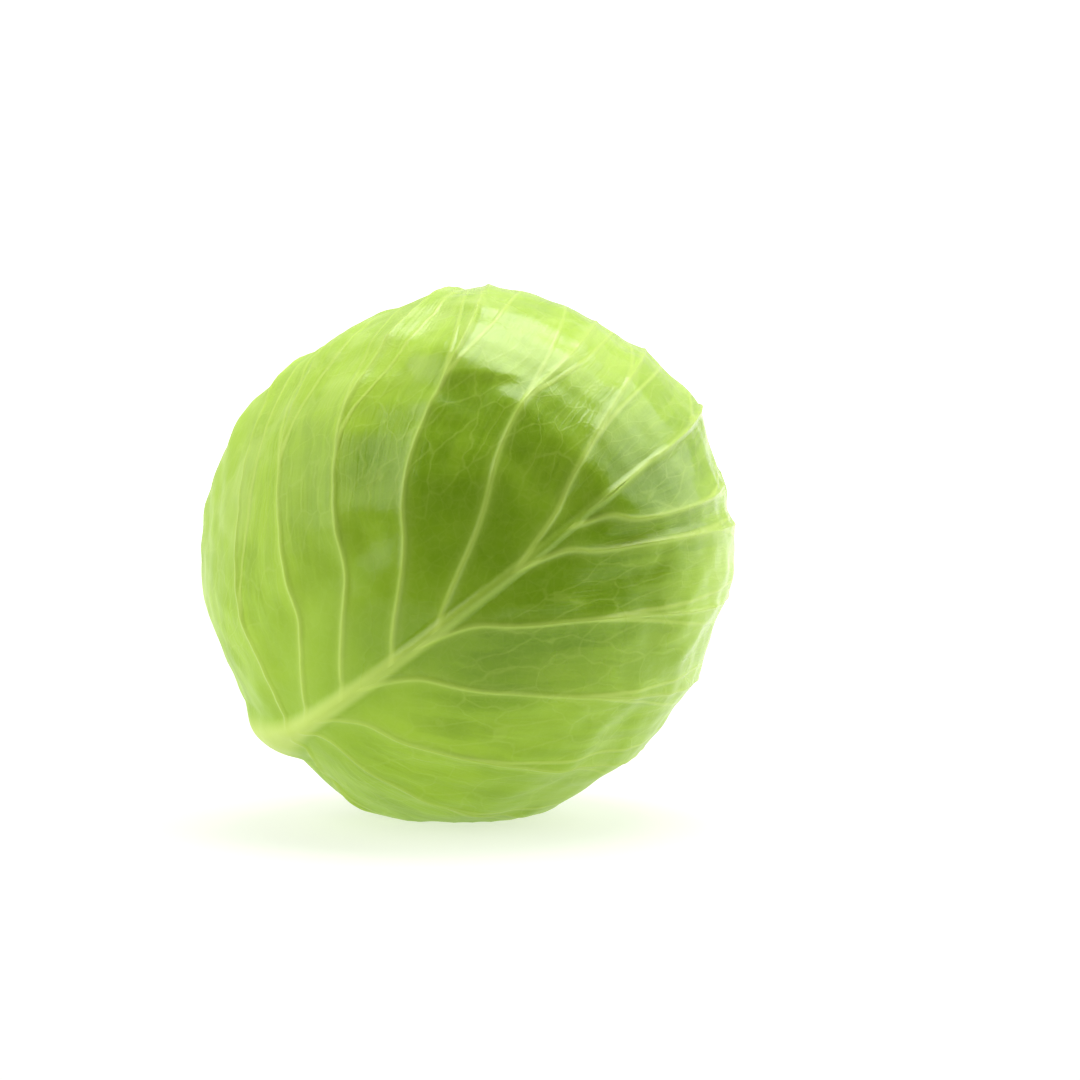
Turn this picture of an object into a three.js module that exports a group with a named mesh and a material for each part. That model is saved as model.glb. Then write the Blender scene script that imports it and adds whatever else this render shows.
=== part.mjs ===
// A head of white cabbage, lying on its side on a small flat spot: the cut stem, the firm heart and
// the big wrapper leaves that close round it, each a thin curved blade with a thick rib.
// Millimetres and degrees, +Z up. The origin is the middle of the spot that the head rests on.

import * as THREE from 'three';

// The head
const HEART_RADIUS = 75.0;
const REST_HEIGHT = 83.2;        // from the resting surface up to the middle of the head
const CROWN_HEADING = -14.3;     // the way the crown points, seen from above
const CROWN_RISE = 45.6;         // and how far it is raised above level

// The blades lie on each other like the coats of a ball
const BLADE = 0.8;               // thickness
const LAYER_GAP = 1.25;          // air between a blade and what it lies on
const LAYER = BLADE + LAYER_GAP;
const COVER_REACH = 10;          // degrees past its margin for which a blade still counts as there
const COVER_FALL = 14;           // degrees over which the blade above then sinks to the next coat

// The midrib of a leaf, wide and proud at the stalk, fine at the tip
const STALK_HALF_WIDTH = 5.8;
const STALK_RISE = 2.2;
const STALK_LENGTH = 16;         // degrees along the leaf
const RIB_HALF_WIDTH = 3.2;
const RIB_RISE = 2.4;
const RIB_TIP_HALF_WIDTH = 0.5;
const RIB_TIP_RISE = 0.3;

// Side veins stand on the crests of the blade, which sags between them
const CREST_RISE = 1.3;
const VEIN_RISE = 0.6;
const MARGIN_LIFT = 1.6;         // how far the wavy margin stands off the coat below

// Stem
const STEM_RADIUS = 12;
const STEM_FACE = 84.0;          // from the middle of the head to the cut face
const STEM_BEVEL = 1.4;
const STEM_SIDES = 32;
const TOUCH = 0.4;               // between pieces that touch

// Fineness of the blades: places across each half, and the longest steps along the rib and margin
const ACROSS = [0, 0.02, 0.07, 0.14, 0.22, 0.31, 0.4, 0.49, 0.58, 0.67, 0.76, 0.85, 0.93, 1];
const LONGEST_STEP = 0.08;
const WIDEST_FAN = 12.5;         // degrees of the margin
const HEART_RINGS = 18;
const HEART_SIDES = 36;

// Directions of the head
const rad = THREE.MathUtils.degToRad;
const crown = new THREE.Vector3(
  Math.cos(rad(CROWN_RISE)) * Math.cos(rad(CROWN_HEADING)),
  Math.cos(rad(CROWN_RISE)) * Math.sin(rad(CROWN_HEADING)),
  Math.sin(rad(CROWN_RISE)),
);
const level = new THREE.Vector3(-Math.sin(rad(CROWN_HEADING)), Math.cos(rad(CROWN_HEADING)), 0);
const upright = new THREE.Vector3().crossVectors(crown, level);
const middle = new THREE.Vector3(0, 0, REST_HEIGHT);

const smooth = (x, from, to) => THREE.MathUtils.smoothstep(x, from, to);
const bell = (x, width) => Math.exp(-((x / width) ** 2));

// A leaf's chart: x and y in degrees from the middle of the leaf, y towards the crown and x
// towards the left edge. Distances from the middle are true, as on a polar map.
function chartOf(turn, flip) {
  const face = level.clone().multiplyScalar(Math.cos(rad(turn)))
    .addScaledVector(upright, Math.sin(rad(turn)));
  const left = new THREE.Vector3().crossVectors(face, crown).multiplyScalar(flip);
  return { face, left };
}

function toChart({ face, left }, dir) {
  const away = THREE.MathUtils.radToDeg(Math.acos(THREE.MathUtils.clamp(dir.dot(face), -1, 1)));
  const x = dir.dot(left);
  const y = dir.dot(crown);
  const reach = Math.hypot(x, y) || 1;
  return [away * x / reach, away * y / reach];
}

function fromChart({ face, left }, x, y) {
  const away = Math.hypot(x, y) || 1e-9;
  return face.clone().multiplyScalar(Math.cos(rad(away)))
    .addScaledVector(left, Math.sin(rad(away)) * x / away)
    .addScaledVector(crown, Math.sin(rad(away)) * y / away);
}

// Smooth curve through points of rising key: a cubic between neighbours, with the slope at each
// point taken from the points on its two sides.
function curveThrough(points, key) {
  const last = points.length - 1;
  let i = 0;
  while (i < last - 1 && key > points[i + 1][0]) i += 1;
  const slope = (k, n) => {
    const a = points[Math.max(k - 1, 0)];
    const b = points[Math.min(k + 1, last)];
    return (b[n] - a[n]) / (b[0] - a[0]);
  };
  const [p, q] = [points[i], points[i + 1]];
  const span = q[0] - p[0];
  const t = (key - p[0]) / span;
  return p.slice(1).map((_, m) => {
    const n = m + 1;
    return p[n] * (1 + 2 * t) * (1 - t) ** 2 + q[n] * t * t * (3 - 2 * t)
      + span * (slope(i, n) * t * (1 - t) ** 2 - slope(i + 1, n) * t * t * (1 - t));
  });
}

// The midrib on the chart, from the cut of the stalk to the tip: y, then x
const MIDRIB = [[-79, 6.2], [-58, 5.1], [-31, 3.5], [5.5, -0.8], [26, -4.5], [50, -9.2],
  [74, -16.8], [100, -26], [130, -35]];
const RIB_FORK = 50;             // the y at which the last side veins leave the rib
const VEIN_AHEAD = 3.2;          // degrees that a side vein runs along the rib as it leaves it

// The side veins of each half: where on the rib they start, from 0 at the stalk to 1 at the fork,
// the bearing from the tip at which they end in the margin, and two points that they pass.
const LEFT_VEINS = [
  [0, 142, 24, -80, 42, -79],
  [0.178, 86, 37.5, -40, 51, -29],
  [0.25, 68, 47, -11.8, 66, 1.5],
  [0.37, 48, 46, 8.2, 58, 23.5],
  [0.5, 42, 35.2, 28, 46, 53],
  [0.6, 15, 20.8, 46, 21.5, 66],
  [0.775, 2, 3, 53.5, 5, 80],
  [1, -15, -16.8, 74, -26, 100],
];
const RIGHT_VEINS = [
  [0, -149, -10, -82, -28, -84],
  [0.178, -131, -20, -70, -44, -65],
  [0.21, -113, -23, -43, -55, -38],
  [0.28, -94, -26, -22.5, -62, -10],
  [0.42, -75, -25, 0.5, -62, 18],
  [0.56, -58, -22, 20.5, -55, 43],
  [0.775, -43, -24, 44.5, -50, 66.5],
  [0.89, -29, -25.5, 55, -43, 77],
  [1, -15, -16.8, 74, -26, 100],
];

// The leaves, from the innermost outwards. Each is turned round the stem from the outermost one by
// so many times 137.5 degrees. A dent is a bay in its margin: bearing, depth and width.
const OUTER_TURN = -168;
const LEAF_STEP = 137.5;
const LEAVES = [
  { name: 'wrapper_leaf_5', steps: 4, flip: 1, side: 93, tip: 36, dent: [30, 8, 12], seed: 5 },
  { name: 'wrapper_leaf_4', steps: 3, flip: -1, side: 95, tip: 30, dent: [-50, 7, 14], seed: 4 },
  { name: 'wrapper_leaf_3', steps: 2, flip: 1, side: 95, tip: 38, dent: [18, 9, 10], seed: 3 },
  { name: 'wrapper_leaf_2', steps: 1, flip: -1, side: 96, tip: 34, dent: [40, 8, 12], seed: 2 },
  { name: 'wrapper_leaf_1', steps: 0, flip: 1, side: 97, tip: 33, dent: [-28, 22, 12], seed: 1 },
].map((leaf) => ({ ...leaf, chart: chartOf(OUTER_TURN - LEAF_STEP * leaf.steps, leaf.flip) }));
const outermost = LEAVES[LEAVES.length - 1];

// Swells and hollows of the head itself: x and y on the outermost leaf's chart, height, width
const SWELLS = [
  [-48, -62, 5.6, 27],           // broad shoulder beside the stem, which the head lies on
  [-6, -76, -3.0, 8],            // groove between that shoulder and the outermost leaf's stalk
  [50, -64, 3.0, 24],            // shoulder on the other side of the stalk
  [80, -40, 1.0, 14],            // and the bulge above it
  [98, 22, -2.2, 20],            // flat side at the upper left
  [-20, 103, 2.6, 8],            // corner at the crown
  [-52, 84, -1.8, 12],           // and the flats on its two sides
  [35, 103, -1.6, 12],
];

function heartRadius(dir) {
  return SWELLS.reduce((radius, [x, y, height, width]) => {
    const apart = THREE.MathUtils.radToDeg(dir.angleTo(fromChart(outermost.chart, x, y)));
    return radius + height * bell(apart, width);
  }, HEART_RADIUS);
}

// Degrees from the middle of the leaf to its margin at a bearing from the tip
function marginAt(leaf, bearing) {
  const wave = 1.3 * Math.sin(rad(5 * bearing) + leaf.seed)
    + 0.9 * Math.sin(rad(11 * bearing) + 2 * leaf.seed);
  const [bay, depth, width] = leaf.dent;
  return leaf.side + leaf.tip * ((1 + Math.cos(rad(bearing))) / 2) ** 3.5 + wave
    - depth * bell(bearing - bay, width);
}

// 1 where the leaf is, falling to 0 past its margin
function coverBy(leaf, dir) {
  const [x, y] = toChart(leaf.chart, dir);
  const bearing = THREE.MathUtils.radToDeg(Math.atan2(x, y));
  return 1 - smooth(Math.hypot(x, y) - marginAt(leaf, bearing) - COVER_REACH, 0, COVER_FALL);
}

// The coats below and above a leaf, and what the resting surface leaves of the height
function settle(dir, index) {
  const covers = LEAVES.map((leaf) => coverBy(leaf, dir));
  const coats = (list) => LAYER * list.reduce((sum, cover) => sum + cover, 0);
  const room = dir.z < -0.1
    ? REST_HEIGHT / -dir.z - coats(covers) - heartRadius(dir) : 1e3;
  return {
    radius: heartRadius(dir) + Math.min(room, 0) + coats(covers.slice(0, index)),
    open: covers.slice(index + 1).reduce((free, cover) => free * (1 - cover), 1)
      * smooth(room, 0, 5),
  };
}

// Height of the midrib above the blade, for a point of the chart
function ribRise(x, y) {
  const [ribX] = curveThrough(MIDRIB, y);
  const away = Math.max(Math.hypot(x, y), 1);
  const across = (x - ribX) * rad(1) * (HEART_RADIUS + 6) * Math.sin(rad(away)) / rad(away);
  const along = THREE.MathUtils.clamp((y - MIDRIB[0][0]) / 205, 0, 1);
  const stalk = bell(y - MIDRIB[0][0], STALK_LENGTH);
  const halfWidth = RIB_TIP_HALF_WIDTH + RIB_HALF_WIDTH * (1 - along) ** 1.5
    + STALK_HALF_WIDTH * stalk;
  const rise = RIB_TIP_RISE + RIB_RISE * (1 - along) ** 1.3 + STALK_RISE * stalk;
  return rise * Math.sqrt(Math.max(0, 1 - (across / halfWidth) ** 2));
}

// Place on the chart of the point u along the rib and s out along the side veins: a cubic through
// the vein's start, its two points and its end in the margin. Close to the rib it runs ahead along
// the rib, by q e^(1-q) of the square of s over 0.1.
function veinPoint(leaf, veins, u, s) {
  const ribY = MIDRIB[0][0] + (RIB_FORK - MIDRIB[0][0]) * u;
  const [ribX] = curveThrough(MIDRIB, ribY);
  const [bearing, x1, y1, x2, y2] = curveThrough(veins, u);
  const end = marginAt(leaf, bearing);
  const weights = [
    (1 - s) * (1 - 1.5 * s) * (1 - 3 * s),
    9 * s * (1 - s) * (1 - 1.5 * s),
    -4.5 * s * (1 - s) * (1 - 3 * s),
    s * (1 - 1.5 * s) * (1 - 3 * s),
  ];
  const blend = (...values) => values.reduce((sum, value, i) => sum + value * weights[i], 0);
  const q = (s / 0.1) ** 2;
  const ahead = VEIN_AHEAD * q * Math.exp(1 - q) * smooth(u, 0, 0.25);
  const slope = ribX - curveThrough(MIDRIB, ribY - 1)[0];
  return [
    blend(ribX, x1, x2, end * Math.sin(rad(bearing))) + slope * ahead,
    blend(ribY, y1, y2, end * Math.cos(rad(bearing))) + ahead,
  ];
}

// How far the blade is lifted at (u, s): crests at the side veins, and the wavy margin
function bladeLift(leaf, veins, u, s) {
  let i = 0;
  while (i < veins.length - 2 && u > veins[i + 1][0]) i += 1;
  const between = (u - veins[i][0]) / (veins[i + 1][0] - veins[i][0]);
  const fromCrest = Math.abs(2 * (i === 0 ? (1 + between) / 2 : between) - 1);
  const crest = CREST_RISE * fromCrest ** 1.6 * smooth(s, 0.02, 0.3);
  const wave = 0.6 + 0.4 * Math.sin(23 * u + 3 * leaf.seed);
  return crest + MARGIN_LIFT * wave * smooth(s, 0.8, 1);
}

// Steps along the rib: every side vein of both halves, and more where they are far apart at the rib
// or fan out widely at the margin
function stepsAlong(lists) {
  const keys = [...new Set(lists.flat().map((vein) => vein[0]))].sort((a, b) => a - b);
  const bearing = (veins, u) => curveThrough(veins, u)[0];
  return keys.flatMap((key, i) => {
    if (i === keys.length - 1) return [key];
    const next = keys[i + 1];
    const fans = lists.map((veins) => Math.abs(bearing(veins, next) - bearing(veins, key)));
    const parts = Math.ceil(Math.max((next - key) / LONGEST_STEP, Math.max(...fans) / WIDEST_FAN));
    return Array.from({ length: parts }, (_, k) => key + (next - key) * k / parts);
  });
}

// One leaf: an outer and an inner sheet on the same grid, joined along the base and the margin.
// At the last step the two halves meet, on the line from the fork of the rib to the tip.
function leafGeometry(leaf, index) {
  const along = stepsAlong([LEFT_VEINS, RIGHT_VEINS]);
  const half = ACROSS.length - 1;
  const lastRow = along.length - 1;
  const outer = [];
  const inner = [];
  const idOf = new Map();
  const id = (row, place) => idOf.get(`${row},${row === lastRow ? Math.abs(place) : place}`);
  along.forEach((u, row) => {
    for (let place = row === lastRow ? 0 : -half; place <= half; place += 1) {
      const veins = place < 0 ? RIGHT_VEINS : LEFT_VEINS;
      const s = ACROSS[Math.abs(place)];
      const [x, y] = veinPoint(leaf, veins, u, s);
      const dir = fromChart(leaf.chart, x, y);
      const { radius, open } = settle(dir, index);
      const onVein = veins.some((vein) => vein[0] === u && u > 0);
      const low = radius + LAYER_GAP + open * bladeLift(leaf, veins, u, s);
      const rise = Math.max(ribRise(x, y), onVein ? VEIN_RISE * (1 - s) : 0);
      idOf.set(`${row},${place}`, outer.length);
      inner.push(dir.clone().multiplyScalar(low).add(middle));
      outer.push(dir.clone().multiplyScalar(low + BLADE + open * rise).add(middle));
    }
  });

  const triangles = [];
  const count = outer.length;
  const sheet = (a, b, c) => triangles.push([a, b, c], [a + count, c + count, b + count]);
  const rim = (a, b) => triangles.push([b, a, a + count], [b, a + count, b + count]);
  for (let row = 0; row < lastRow; row += 1) {
    for (let place = -half; place < half; place += 1) {
      const [a, b] = [id(row, place), id(row, place + 1)];
      const [c, d] = [id(row + 1, place + 1), id(row + 1, place)];
      if (outer[a].distanceTo(outer[c]) < outer[b].distanceTo(outer[d])) {
        sheet(a, b, c);
        sheet(a, c, d);
      } else {
        sheet(a, b, d);
        sheet(b, c, d);
      }
    }
    rim(id(row, half), id(row + 1, half));
    rim(id(row + 1, -half), id(row, -half));
  }
  for (let place = -half; place < half; place += 1) rim(id(0, place), id(0, place + 1));
  return solid([...outer, ...inner], triangles, leaf.flip > 0);
}

// Closed mesh from points and triangles. Points within a hair of the resting surface lie on it.
function solid(points, triangles, turned) {
  const onSurface = (z) => (Math.abs(z) < 1e-4 ? 0 : z);
  const geometry = new THREE.BufferGeometry();
  geometry.setAttribute('position', new THREE.Float32BufferAttribute(
    points.flatMap((p) => [p.x, p.y, onSurface(p.z)]), 3));
  geometry.setIndex(triangles.flatMap(([a, b, c]) => (turned ? [a, c, b] : [a, b, c])));
  geometry.computeVertexNormals();
  return geometry;
}

// The heart: a ball whose surface steps down where one inner leaf ends on the next
const HEART_LEAVES = 5;
const HEART_STEP = 1.0;
const HEART_TWIST = 70;          // degrees by which the steps wind round from stem to crown

function heartGeometry() {
  const points = [];
  const place = (ring, side) => {
    const away = 180 * ring / HEART_RINGS;
    const round = 360 * side / HEART_SIDES;
    const dir = crown.clone().multiplyScalar(Math.cos(rad(away)))
      .addScaledVector(level, Math.sin(rad(away)) * Math.cos(rad(round)))
      .addScaledVector(upright, Math.sin(rad(away)) * Math.sin(rad(round)));
    const turns = (round + HEART_TWIST * away / 180) / 360 * HEART_LEAVES;
    const step = HEART_STEP * (turns - Math.floor(turns)) * Math.sin(rad(away));
    return dir.multiplyScalar(settle(dir, 0).radius - step).add(middle);
  };
  points.push(place(0, 0), place(HEART_RINGS, 0));
  for (let ring = 1; ring < HEART_RINGS; ring += 1) {
    for (let side = 0; side < HEART_SIDES; side += 1) points.push(place(ring, side));
  }
  const id = (ring, side) => {
    if (ring === 0) return 0;
    if (ring === HEART_RINGS) return 1;
    return 2 + (ring - 1) * HEART_SIDES + (side % HEART_SIDES);
  };
  const triangles = [];
  for (let side = 0; side < HEART_SIDES; side += 1) {
    for (let ring = 0; ring < HEART_RINGS; ring += 1) {
      const [a, b] = [id(ring, side), id(ring + 1, side)];
      const [c, d] = [id(ring + 1, side + 1), id(ring, side + 1)];
      if (ring < HEART_RINGS - 1) triangles.push([a, b, c]);
      if (ring > 0) triangles.push([a, c, d]);
    }
  }
  return solid(points, triangles, false);
}

// The stump of the stem, cut off flat and standing on the highest part of the heart below it
function stemGeometry() {
  const spread = Math.asin(STEM_RADIUS / HEART_RADIUS);
  const around = Array.from({ length: STEM_SIDES }, (_, side) => {
    const round = 2 * Math.PI * side / STEM_SIDES;
    return heartRadius(crown.clone().multiplyScalar(-Math.cos(spread))
      .addScaledVector(level, Math.sin(spread) * Math.cos(round))
      .addScaledVector(upright, Math.sin(spread) * Math.sin(round)));
  });
  const highest = Math.max(...around);
  const foot = (away) => Math.sqrt(highest ** 2 - away ** 2) + TOUCH;
  const profile = [
    [0, foot(0)],
    [STEM_RADIUS / 2, foot(STEM_RADIUS / 2)],
    [STEM_RADIUS, foot(STEM_RADIUS)],
    [STEM_RADIUS, STEM_FACE - STEM_BEVEL],
    [STEM_RADIUS - STEM_BEVEL, STEM_FACE],
    [0, STEM_FACE],
  ];
  const geometry = new THREE.LatheGeometry(profile.map(([r, z]) => new THREE.Vector2(r, z)),
    STEM_SIDES);
  const toStem = new THREE.Quaternion()
    .setFromUnitVectors(new THREE.Vector3(0, 1, 0), crown.clone().negate());
  return geometry.applyQuaternion(toStem).translate(middle.x, middle.y, middle.z);
}

function finish(colour, roughness) {
  return new THREE.MeshStandardMaterial({ color: colour, roughness, metalness: 0 });
}

function piece(name, geometry, material) {
  const mesh = new THREE.Mesh(geometry, material);
  mesh.name = name;
  return mesh;
}

const outerLeafFinish = finish(0x97bd50, 0.42);
const innerLeafFinish = finish(0xb4cf77, 0.45);
const heartFinish = finish(0xdbe6b4, 0.5);
const stemFinish = finish(0xe6e8c4, 0.65);

const head = new THREE.Group();
head.add(piece('stem', stemGeometry(), stemFinish));
head.add(piece('heart', heartGeometry(), heartFinish));
LEAVES.forEach((leaf, index) => {
  const colour = leaf.steps < 2 ? outerLeafFinish : innerLeafFinish;
  head.add(piece(leaf.name, leafGeometry(leaf, index), colour));
});

export default head;
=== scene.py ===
# %% [markdown]
# # A head of white cabbage
# The head lies on its side on a pale floor: a cut stem, a firm heart, and five big wrapper leaves
# that close round it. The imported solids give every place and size. Here each leaf is drawn again
# as a fine sheet with its ribs, veins, sagging panels and wavy margin, and gets a waxy leaf finish.

import bpy
import numpy as np
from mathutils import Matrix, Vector


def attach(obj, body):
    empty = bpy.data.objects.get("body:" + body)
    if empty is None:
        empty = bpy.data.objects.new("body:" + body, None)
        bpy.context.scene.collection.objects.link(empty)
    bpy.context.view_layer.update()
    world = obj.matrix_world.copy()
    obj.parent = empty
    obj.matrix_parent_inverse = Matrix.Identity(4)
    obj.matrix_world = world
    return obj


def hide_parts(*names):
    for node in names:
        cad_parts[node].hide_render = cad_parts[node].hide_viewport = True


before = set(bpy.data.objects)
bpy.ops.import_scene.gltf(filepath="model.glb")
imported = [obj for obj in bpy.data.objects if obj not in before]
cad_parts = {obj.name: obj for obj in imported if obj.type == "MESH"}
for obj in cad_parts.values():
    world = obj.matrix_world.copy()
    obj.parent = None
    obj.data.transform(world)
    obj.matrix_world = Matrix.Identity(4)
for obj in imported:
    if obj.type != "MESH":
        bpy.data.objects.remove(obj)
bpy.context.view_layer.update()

# %% [markdown]
# ## The head and its directions
# A cabbage grows round its stem, so every leaf is best described from the stem outwards. The crown
# points up to the right and a little towards us, the stem down to the left and away. These are the
# driving sizes of the head, in metres and degrees, the same as the solids have.

# %% Driving sizes
HEART_RADIUS = 0.0750
REST_HEIGHT = 0.0832             # from the floor up to the middle of the head
CROWN_HEADING = -14.3            # the way the crown points, seen from above
CROWN_RISE = 45.6                # and how far it is raised above level
BLADE = 0.0008                   # thickness of a leaf
LAYER_GAP = 0.00125              # air between a leaf and what it lies on
LAYER = BLADE + LAYER_GAP
OUTSIDE = HEART_RADIUS + 0.006   # about where the outer faces of the leaves lie
COVER_REACH = 4.0                # degrees past its margin for which a leaf still counts as there
COVER_FALL = 12.0                # degrees over which the leaf above then sinks to the next coat

crown = np.array([
    np.cos(np.radians(CROWN_RISE)) * np.cos(np.radians(CROWN_HEADING)),
    np.cos(np.radians(CROWN_RISE)) * np.sin(np.radians(CROWN_HEADING)),
    np.sin(np.radians(CROWN_RISE))])
level = np.array([-np.sin(np.radians(CROWN_HEADING)), np.cos(np.radians(CROWN_HEADING)), 0.0])
upright = np.cross(crown, level)
middle = np.array([0.0, 0.0, REST_HEIGHT])
print("the crown points to", crown.round(3))

# %% [markdown]
# ## Camera
# The photograph looks almost level, seven degrees down, from about three metres with a long lens.
# The head stands left of the middle of the picture, so the camera aims a little to its right.

# %% Camera
CAMERA_DROP = 7.0                # degrees that the camera looks down
LENS = 0.300
SENSOR = 0.036
PICTURE = 1080                   # pixels across the square picture
PIXEL = 0.0003195                # metres on the head to a pixel of the picture
HEAD_PIXEL = (469, 557)          # where the middle of the head is seen

drop = np.radians(CAMERA_DROP)
looking = np.array([0.0, np.cos(drop), -np.sin(drop)])
picture_up = np.array([0.0, np.sin(drop), np.cos(drop)])
aim = (middle + np.array([1.0, 0.0, 0.0]) * (PICTURE / 2 - HEAD_PIXEL[0]) * PIXEL
       + picture_up * (HEAD_PIXEL[1] - PICTURE / 2) * PIXEL)
distance = LENS * PICTURE * PIXEL / SENSOR
camera_data = bpy.data.cameras.new("camera")
camera_data.lens = LENS * 1000
camera_data.sensor_width = SENSOR * 1000
camera_data.clip_start = 0.05
camera = bpy.data.objects.new("camera", camera_data)
camera.location = Vector(aim - looking * distance)
camera.rotation_euler = Vector(looking).to_track_quat("-Z", "Y").to_euler()
bpy.context.collection.objects.link(camera)
bpy.context.scene.camera = camera
print(f"camera {distance:.3f} m away")

# %% [markdown]
# ## A chart for each leaf
# A map needs a projection, and so does a leaf on a ball. Each leaf has a polar chart: x and y in
# degrees from the middle of the leaf, y towards the crown and x towards its left edge. Veins are
# drawn on that chart, and the chart carries them onto the ball. A flat sheet could be
# wrapped round the ball instead, but it would crumple at its edges, where the veins end.


# %% Charts and smooth curves
def chart_of(turn, flip):
    """Middle direction and left direction of a leaf turned so far round the stem."""
    face = level * np.cos(np.radians(turn)) + upright * np.sin(np.radians(turn))
    return face, np.cross(face, crown) * flip


def to_chart(chart, dirs):
    """Angle from the leaf's middle, laid off along the direction's parts to the left and crown."""
    face, left = chart
    away = np.degrees(np.arccos(np.clip(dirs @ face, -1, 1)))
    x, y = dirs @ left, dirs @ crown
    reach = np.maximum(np.hypot(x, y), 1e-9)
    return away * x / reach, away * y / reach


def from_chart(chart, x, y):
    """Unit direction: cosine of the reach along the middle, and its sine along left and crown."""
    face, left = chart
    away = np.maximum(np.hypot(x, y), 1e-9)
    cos, sin = np.cos(np.radians(away)), np.sin(np.radians(away)) / away
    return cos[..., None] * face + (sin * x)[..., None] * left + (sin * y)[..., None] * crown


def smooth(x, low, high):
    """0 below low, 1 above high, and 3t^2 - 2t^3 of the fraction t between them."""
    t = np.clip((x - low) / (high - low), 0, 1)
    return t * t * (3 - 2 * t)


def bell(x, width):
    """Exponential of minus the square of x over width."""
    return np.exp(-(x / width) ** 2)


def curve_through(points, key):
    """Cubic between neighbouring points, with each point's slope taken from its two sides."""
    table = np.array(points, float)
    keys, values = table[:, 0], table[:, 1:]
    before = np.maximum(np.arange(len(keys)) - 1, 0)
    after = np.minimum(np.arange(len(keys)) + 1, len(keys) - 1)
    slopes = (values[after] - values[before]) / (keys[after] - keys[before])[:, None]
    i = np.clip(np.searchsorted(keys, key, side="left") - 1, 0, len(keys) - 2)
    span = (keys[i + 1] - keys[i])[..., None]
    t = ((key - keys[i]) / (keys[i + 1] - keys[i]))[..., None]
    return (values[i] * (1 + 2 * t) * (1 - t) ** 2 + values[i + 1] * t * t * (3 - 2 * t)
            + span * (slopes[i] * t * (1 - t) ** 2 - slopes[i + 1] * t * t * (1 - t)))


print("a leaf that isn't turned faces", chart_of(0.0, 1)[0].round(3))

# %% [markdown]
# ## Ribs and veins
# The midrib runs from the stalk to the tip. Side veins leave it at a sharp angle and curve up and
# out to the margin. Each is a cubic through its start, two points that it passes and its end. Rows
# of the mesh follow the veins, so that every vein is a clean line of vertices.

# %% Vein plan
MIDRIB = [[-79, 6.2], [-58, 5.1], [-31, 3.5], [5.5, -0.8], [26, -4.5], [50, -9.2],
          [74, -16.8], [100, -26], [130, -35]]        # y, then x
RIB_FORK = 50.0                  # the y at which the last side veins leave the rib
VEIN_AHEAD = 3.2                 # degrees that a side vein runs along the rib as it leaves it

# where on the rib each starts, the bearing from the tip of its end, and two points that it passes
LEFT_VEINS = [
    [0, 142, 24, -80, 42, -79],
    [0.178, 86, 37.5, -40, 51, -29],
    [0.25, 68, 47, -11.8, 66, 1.5],
    [0.37, 48, 46, 8.2, 58, 23.5],
    [0.5, 42, 35.2, 28, 46, 53],
    [0.6, 15, 20.8, 46, 21.5, 66],
    [0.775, 2, 3, 53.5, 5, 80],
    [1, -15, -16.8, 74, -26, 100]]
RIGHT_VEINS = [
    [0, -149, -10, -82, -28, -84],
    [0.178, -131, -20, -70, -44, -65],
    [0.21, -113, -23, -43, -55, -38],
    [0.28, -94, -26, -22.5, -62, -10],
    [0.42, -75, -25, 0.5, -62, 18],
    [0.56, -58, -22, 20.5, -55, 43],
    [0.775, -43, -24, 44.5, -50, 66.5],
    [0.89, -29, -25.5, 55, -43, 77],
    [1, -15, -16.8, 74, -26, 100]]

OUTER_TURN = -168.0              # the turn of the outermost leaf round the stem
LEAF_STEP = 137.5                # and from one leaf to the next

# from the heart outwards: reach at the sides, what the tip adds, and the bay in the margin with
# its bearing, depth and width, all in degrees
LEAVES = [
    dict(name="wrapper_leaf_5", steps=4, flip=1, side=93, tip=36, dent=(30, 8, 12), seed=5),
    dict(name="wrapper_leaf_4", steps=3, flip=-1, side=95, tip=30, dent=(-50, 7, 14), seed=4),
    dict(name="wrapper_leaf_3", steps=2, flip=1, side=95, tip=38, dent=(18, 9, 10), seed=3),
    dict(name="wrapper_leaf_2", steps=1, flip=-1, side=96, tip=34, dent=(40, 8, 12), seed=2),
    dict(name="wrapper_leaf_1", steps=0, flip=1, side=97, tip=33, dent=(-28, 22, 12), seed=1)]
for leaf in LEAVES:
    leaf["chart"] = chart_of(OUTER_TURN - LEAF_STEP * leaf["steps"], leaf["flip"])
outermost = LEAVES[-1]
print(len(LEAVES), "leaves,", len(LEFT_VEINS) + len(RIGHT_VEINS) - 4, "side veins each")

# %% [markdown]
# ## How the coats lie
# Real leaves are pressed on each other as they grow. So a leaf's height is the heart's radius, with
# its few broad swells, plus one coat for each leaf below it, and less where the floor presses in.

# %% Head shape, margins and coats
SWELLS = [                       # x and y on the outermost leaf's chart, height, width
    (-48, -62, 0.0056, 27),      # broad shoulder beside the stem, which the head lies on
    (-6, -76, -0.0030, 8),       # groove between that shoulder and the outermost leaf's stalk
    (50, -64, 0.0030, 24),       # shoulder on the other side of the stalk
    (80, -40, 0.0010, 14),       # bulge above that shoulder
    (98, 22, -0.0022, 20),       # flat side at the upper left
    (-20, 103, 0.0026, 8),       # corner at the crown
    (-52, 84, -0.0018, 12),      # flat on the right of the corner
    (35, 103, -0.0016, 12)]      # flat on the left of it
FLOOR_REACH = 0.1                # a direction that drops less than this never meets the floor
FREE_ROOM = 0.005                # air above the floor from which a leaf keeps its full relief


def heart_radius(dirs):
    """Base radius plus a bell for each swell, of the angle from the swell's middle."""
    radius = np.full(dirs.shape[:-1], HEART_RADIUS)
    for x, y, height, width in SWELLS:
        top = from_chart(outermost["chart"], np.array(float(x)), np.array(float(y)))
        radius += height * bell(np.degrees(np.arccos(np.clip(dirs @ top, -1, 1))), width)
    return radius


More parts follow.
